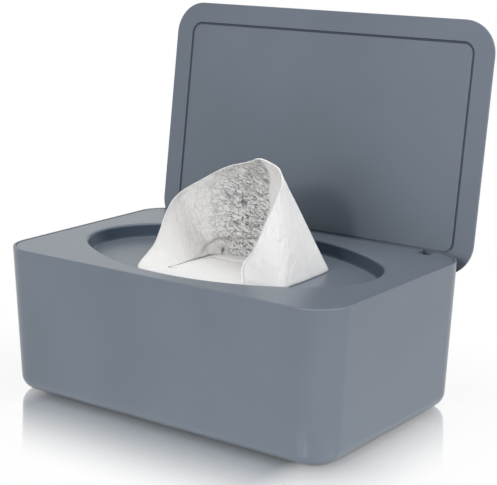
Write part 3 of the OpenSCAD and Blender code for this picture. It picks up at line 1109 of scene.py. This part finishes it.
@dataclass
class FoldedStack:
    """The pile of folded wipes in the tub, each one a sheet folded in half.

    Args:
        length: millimetres from left to right.
        width: millimetres from front to rear.
        low: millimetres of height of the tub's floor.
        step: millimetres of height of one folded wipe.
        count: how many folded wipes lie in the pile.
        thickness: millimetres of cloth.
        end_gap: millimetres that a wipe stays inside the length at each end.
        side_gap: millimetres that it stays inside the width at each side.
        fold_bulge: millimetres that its fold is rounder than half its height.
        edge_gap: millimetres more that its cut edges stay inside.
        shift: millimetres that it lies off the middle, away from its fold.
        sway: millimetres of the two waves of its edges.
        sway_from: millimetres from the middle between which the waves come in.
        dent: millimetres that its faces are off flat.
        embossed: how far it is embossed.
        samples: points along a wipe, along each half's width, and round its fold.
        seed: first seed of the wipes' waves.
    """

    length: float = 166.0
    width: float = 98.0
    low: float = 3.4
    step: float = 2.9
    count: int = 16
    thickness: float = 0.9
    end_gap: float = 0.4
    side_gap: float = 0.7
    fold_bulge: float = 0.3
    edge_gap: float = 0.9
    shift: float = 0.3
    sway: Pair = (0.16, 0.14)
    sway_from: Pair = (30.0, 48.0)
    dent: float = 0.05
    embossed: float = 0.35
    samples: tuple[int, int, int] = (26, 14, 9)
    seed: int = 40

    def one(self, number: int) -> SheetGrid:
        """Returns one folded wipe.

        Args:
            number: its place in the pile, from the bottom.

        Returns:
            Its grid of points.
        """
        wave = np.random.default_rng(self.seed + number).uniform(-1, 1, 4)
        along, across, round_fold = self.samples
        half, reach = self.step / 4, self.width / 2 - self.side_gap
        side = 1.0 if number % 2 == 0 else -1.0
        bulge = half + self.fold_bulge
        turn = np.linspace(-math.pi / 2, math.pi / 2, round_fold)[1:-1]
        run = np.linspace(-reach + self.edge_gap, reach - bulge, across)
        y = np.concatenate([run, reach - bulge + bulge * np.cos(turn), run[::-1]])
        z = np.concatenate([np.full(across, -half), half * np.sin(turn), np.full(across, half)])
        x = np.linspace(self.end_gap - self.length / 2, self.length / 2 - self.end_gap, along)
        grid = np.zeros((len(x), len(y), 3))
        grid[:, :, 0] = x[:, None]
        grid[:, :, 1] = side * y[None, :]
        grid[:, :, 2] = self.low + self.step * (number + 0.5) + z[None, :]
        # the fold and the cut edges sway a little, and the faces are not quite flat
        slow, fast = self.sway
        sway = (slow * np.sin(x / 23 + wave[0] * 3) + fast * np.sin(x / 9 + wave[1] * 3))[:, None]
        near_edge = smooth(np.abs(y), *self.sway_from)[None, :]
        grid[:, :, 1] += side * sway * near_edge - self.shift * side
        lift = np.sin(x / 11 + wave[2] * 3)[:, None] * np.cos(y / 17 + wave[3])[None, :]
        grid[:, :, 2] += self.dent * lift
        soft = np.full(grid.shape[:2], self.embossed)
        none = np.zeros(grid.shape[:2])
        return SheetGrid(grid * MM, soft, none, none, self.thickness * MM)

    def build(self) -> None:
        # the folded wipes get a paler painted shade in their embossing's hollows
        material = WipeCloth(hollow_shade=(0.55, 0.56, 0.57)).make("wipe_cloth_folded")
        for number in range(self.count):
            grid = self.one(number)
            piece = grid.build(f"folded_wipe_{number + 1:02d}")
            piece.data.materials.append(material)
            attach(piece, Body.BASE.value)
            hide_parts("wipes_stack")
            length = self.length * MM
            grid.area() / length


# ---------------------------------------------------------------- rigid pieces


@dataclass(frozen=True)
class Part:
    """CAD nodes that share one finish.

    Args:
        nodes: the nodes.
        finish: what they are made of.
        name: the material's name.
        slot: the record's slot.
    """

    nodes: tuple[str, ...]
    finish: Finish
    name: str
    slot: Slot

    def dress(self) -> None:
        """Gives the nodes their finish."""
        dress(self.nodes, self.finish.make(self.name), self.slot)


@dataclass
class SlateBox:
    """Tub, deck and lid: the three slate mouldings and what seals them.

    Args:
        slate: the plastic.
        lid_roughness: roughness of the lid, which is more matt.
        well_painted_shade: band of painted shade on the rear wall of the deck's well.
        seal: rubber of the gasket and the lid's seal.
        seal_worn_below: metres of height below which the lid's seal is as pale as the deck.
        lip: silicone of the dispensing lip.
        foot: rubber of the feet.
        pin: steel of the hinge pins.
    """

    slate: SlatePlastic = SlatePlastic()
    lid_roughness: float = 0.46
    well_painted_shade: PaintedShadeBand = PaintedShadeBand()
    seal: SoftRubber = SoftRubber((0.055, 0.07, 0.095))
    seal_worn_below: float = 0.0748
    lip: SoftRubber = SoftRubber((0.13, 0.15, 0.18))
    foot: SoftRubber = SoftRubber((0.035, 0.036, 0.04), 0.7)
    pin: DrawnSteel = DrawnSteel()

    def parts(self) -> tuple[Part, ...]:
        """Says which node is made of what.

        Returns:
            Every rigid part of the box.
        """
        # the deck gets the painted shade on its well's rear wall
        deck = replace(self.slate, band=self.well_painted_shade)
        lid = replace(self.slate, roughness=self.lid_roughness)
        lid_seal = replace(self.seal, worn_below=self.seal_worn_below)
        feet = ("foot_front_left", "foot_front_right", "foot_rear_left", "foot_rear_right")
        pins = ("hinge_pin_left", "hinge_pin_right")
        return (Part(("body_tub",), self.slate, "slate_tub", Slot.SLATE),
                Part(("deck_cover",), deck, "slate_deck", Slot.SLATE),
                Part(("lid_shell", "lid_liner"), lid, "slate_lid", Slot.SLATE),
                Part(("dispensing_lip",), self.lip, "lip_silicone", Slot.LIP),
                Part(("deck_gasket",), self.seal, "seal_silicone_deck", Slot.SEAL),
                Part(("lid_seal",), lid_seal, "seal_silicone_lid", Slot.SEAL),
                Part(feet, self.foot, "foot_rubber", Slot.FOOT),
                Part(pins, self.pin, "pin_steel", Slot.PIN))

    def dress(self) -> None:
        """Gives every rigid node its finish."""
        for part in self.parts():
            part.dress()


# ---------------------------------------------------------------- studio


def outwards(turn: float, rise: float) -> Vector:
    """Returns the direction from the box at degrees right of its front and above the counter."""
    a, e = math.radians(turn), math.radians(rise)
    return Vector((math.sin(a) * math.cos(e), -math.cos(a) * math.cos(e), math.sin(e)))


@dataclass(frozen=True)
class Lamp:
    """Soft square lamp that points at the box.

    Args:
        name: its name.
        turn: degrees that it stands to the right of the front.
        rise: degrees that it stands above the counter.
        away: metres from the box.
        size: metres of width.
        share: brightness of a white sheet that faces it, where 1 is white.
        aim: the point it is aimed at, in metres.
    """

    name: str
    turn: float
    rise: float
    away: float
    size: float
    share: float
    aim: Point = (0.0, 0.0, 0.07)

    def hang(self) -> None:
        """Adds the lamp to the scene."""
        out = outwards(self.turn, self.rise)
        lamp = bpy.data.lights.new(self.name, "AREA")
        lamp.size = self.size
        lamp.energy = self.share * (math.pi * self.away) ** 2
        holder = bpy.data.objects.new(self.name, lamp)
        bpy.context.scene.collection.objects.link(holder)
        holder.location = Vector(self.aim) + out * self.away
        holder.rotation_euler = out.to_track_quat("Z", "Y").to_euler()


@dataclass(frozen=True)
class Floor:
    """Pale floor whose mirror fades away from the tub, and which keeps its shadow.

    Lengths are metres.

    Args:
        size: its width.
        half_x: half the box's foot, left to right.
        half_y: half the box's foot, front to rear.
        corner: radius of its corners.
        shine: greatest share of mirror in the floor, close to the box.
        fade: distance over which the mirror fades away.
        side_fade: how much nearer it fades at the corners and sides.
        right_fade: how much nearer it fades towards the right.
        mirror_roughness: roughness of the mirror.
        paper: linear colour of the floor below the mirror.
        paper_roughness: its roughness.
        paper_gloss: its specular level.
        white_near: share of plain white close to the box, which leaves it a shadow.
        white_at: distance from the box where it is all plain white.
    """

    size: float = 6.0
    half_x: float = 0.0848
    half_y: float = 0.0513
    corner: float = 0.0165
    shine: float = 0.90
    fade: float = 0.070
    side_fade: float = 0.020
    right_fade: float = 0.002
    mirror_roughness: float = 0.06
    paper: Colour = (0.92, 0.92, 0.92)
    paper_roughness: float = 0.7
    paper_gloss: float = 0.1
    white_near: float = 0.80
    white_at: float = 0.11

    def from_box(self, w: Wiring) -> tuple[Socket, Socket]:
        """Measures how far a point of the floor is from the box's foot.

        Args:
            w: the material's wiring.

        Returns:
            The distance, and the distance as the mirror counts it.
        """
        x, y, _ = w.axes(w.place())
        out = [w.maths("MAXIMUM",
                       w.maths("SUBTRACT", w.maths("ABSOLUTE", axis), half - self.corner), 0.0)
               for axis, half in ((x, self.half_x), (y, self.half_y))]
        reach = w.maths("SQRT", w.maths("ADD", *(w.times(q, q) for q in out)))
        run = w.maths("MAXIMUM", w.maths("SUBTRACT", reach, self.corner), 0.0)
        side = w.maths("DIVIDE", out[0], w.maths("ADD", w.maths("ADD", *out), 1e-5))
        off_side = w.times(w.step(side, 0.0, 0.40), self.side_fade)
        to_right = w.step(x, 0.02, 0.075, (0.0, self.right_fade))
        nearer = w.maths("ADD", off_side, to_right)
        return run, w.maths("MULTIPLY_ADD", nearer, w.step(run, -0.001, 0.003), run)

    def lay(self) -> None:
        """Adds the floor to the scene."""
        bpy.ops.object.select_all(action="DESELECT")
        bpy.ops.mesh.primitive_plane_add(size=self.size, location=(0.0, 0.0, 0.0))
        floor = bpy.context.object
        floor.name = "floor"
        material, w, skin = fresh_material("floor_white")
        run, away = self.from_box(w)
        mirror = w.step(away, 0.0, self.fade, (self.shine, 0.0))
        w.fill(skin, {"Base Color": opaque(self.paper), "Roughness": self.paper_roughness,
                      "Specular IOR Level": self.paper_gloss})
        white = w.add("ShaderNodeEmission", {"Color": WHITE, "Strength": 1.0}).outputs[0]
        plain = w.times(backdrop_share(w), w.step(run, 0.0, self.white_at, (self.white_near, 1.0)))
        gloss = w.add("ShaderNodeBsdfGlossy", {"Color": WHITE, "Roughness": self.mirror_roughness})
        paper = w.blend(plain, skin.outputs[0], white)
        top = w.blend(mirror, paper, gloss.outputs[0])
        w.put(material.node_tree.nodes["Material Output"].inputs["Surface"], top)
        floor.data.materials.append(material)


def backdrop_share(w: Wiring) -> Socket:
    """Tells what is seen from what only lights the scene.

    Args:
        w: the wiring of the floor's material or of the world.

    Returns:
        1 for what the camera sees, straight or through gloss or glass, and 0 for light.
    """
    path = w.add("ShaderNodeLightPath")
    seen = w.maths("MAXIMUM", path.outputs["Is Camera Ray"], path.outputs["Is Glossy Ray"])
    return w.maths("MAXIMUM", seen, path.outputs["Is Transmission Ray"])


@dataclass
class Studio:
    """Camera, floor and light. Lengths are metres.

    Args:
        turn: degrees that the camera stands to the right of the front.
        rise: degrees it looks down.
        roll: degrees it is rolled.
        stand: where it stands.
        lens: focal length in millimetres.
        daylight: strength of the even light from all round.
        sky: its colour.
        lamps: the soft lamps.
        floor: the floor.
    """

    turn: float = 35.75
    rise: float = 13.43
    roll: float = 0.77
    stand: Point = (0.39406, -0.53401, 0.23599)
    lens: float = 103.14
    daylight: float = 0.075
    sky: Colour = (0.72, 0.90, 1.0)
    lamps: tuple[Lamp, ...] = (Lamp("front_softbox", -5, 20, 1.0, 0.56, 0.385),
                               Lamp("right_softbox", 96, 14, 1.0, 0.60, 0.46),
                               Lamp("top_softbox", 180, 78, 1.0, 0.45, 0.43),
                               Lamp("over_softbox", 75, 48, 1.0, 0.40, 0.14),
                               Lamp("edge_light", 8, 22, 1.0, 0.10, 0.16),
                               Lamp("rim_light", 36, 72, 1.0, 0.06, 0.05))
    floor: Floor = Floor()

    def set_camera(self) -> None:
        """Puts the camera where the photograph was taken from."""
        back = outwards(self.turn, self.rise)
        right = (-back).cross(Vector((0, 0, 1))).normalized()
        up = right.cross(-back)
        cos, sin = math.cos(math.radians(self.roll)), math.sin(math.radians(self.roll))
        right, up = right * cos + up * sin, up * cos - right * sin
        camera = bpy.data.cameras.new("camera")
        camera.lens, camera.sensor_width, camera.sensor_fit = self.lens, SENSOR_MM, "HORIZONTAL"
        camera.clip_start = 0.01
        holder = bpy.data.objects.new("camera", camera)
        bpy.context.scene.collection.objects.link(holder)
        place = Matrix((right, up, back)).transposed().to_4x4()
        place.translation = Vector(self.stand)
        holder.matrix_world = place
        bpy.context.scene.camera = holder

    def set_daylight(self) -> None:
        """White background, and an even light from all round."""
        world = bpy.data.worlds.new("studio")
        bpy.context.scene.world = world
        world.use_nodes = True
        w = Wiring(world.node_tree)
        back = world.node_tree.nodes["Background"]
        back.inputs["Color"].default_value = opaque(self.sky)
        back.inputs["Strength"].default_value = self.daylight
        white = w.add("ShaderNodeBackground", {"Color": WHITE, "Strength": 1.0})
        mix = w.blend(backdrop_share(w), back.outputs[0], white.outputs[0])
        w.put(world.node_tree.nodes["World Output"].inputs["Surface"], mix)

    def build(self) -> None:
        """Sets the whole studio up."""
        self.set_camera()
        self.set_daylight()
        for lamp in self.lamps:
            lamp.hang()
        self.floor.lay()
        bpy.context.scene.view_settings.view_transform = "Standard"
        LOG.info("studio is set")


def main() -> None:
    """Builds the studio and dresses every piece."""
    logging.basicConfig(level=logging.INFO, format="%(name)s: %(message)s")
    Studio().build()
    SlateBox().dress()
    wipe = PulledWipe()
    wipe.fit(wipe.build())
    FoldedStack().build()


if __name__ == "__main__":
    main()
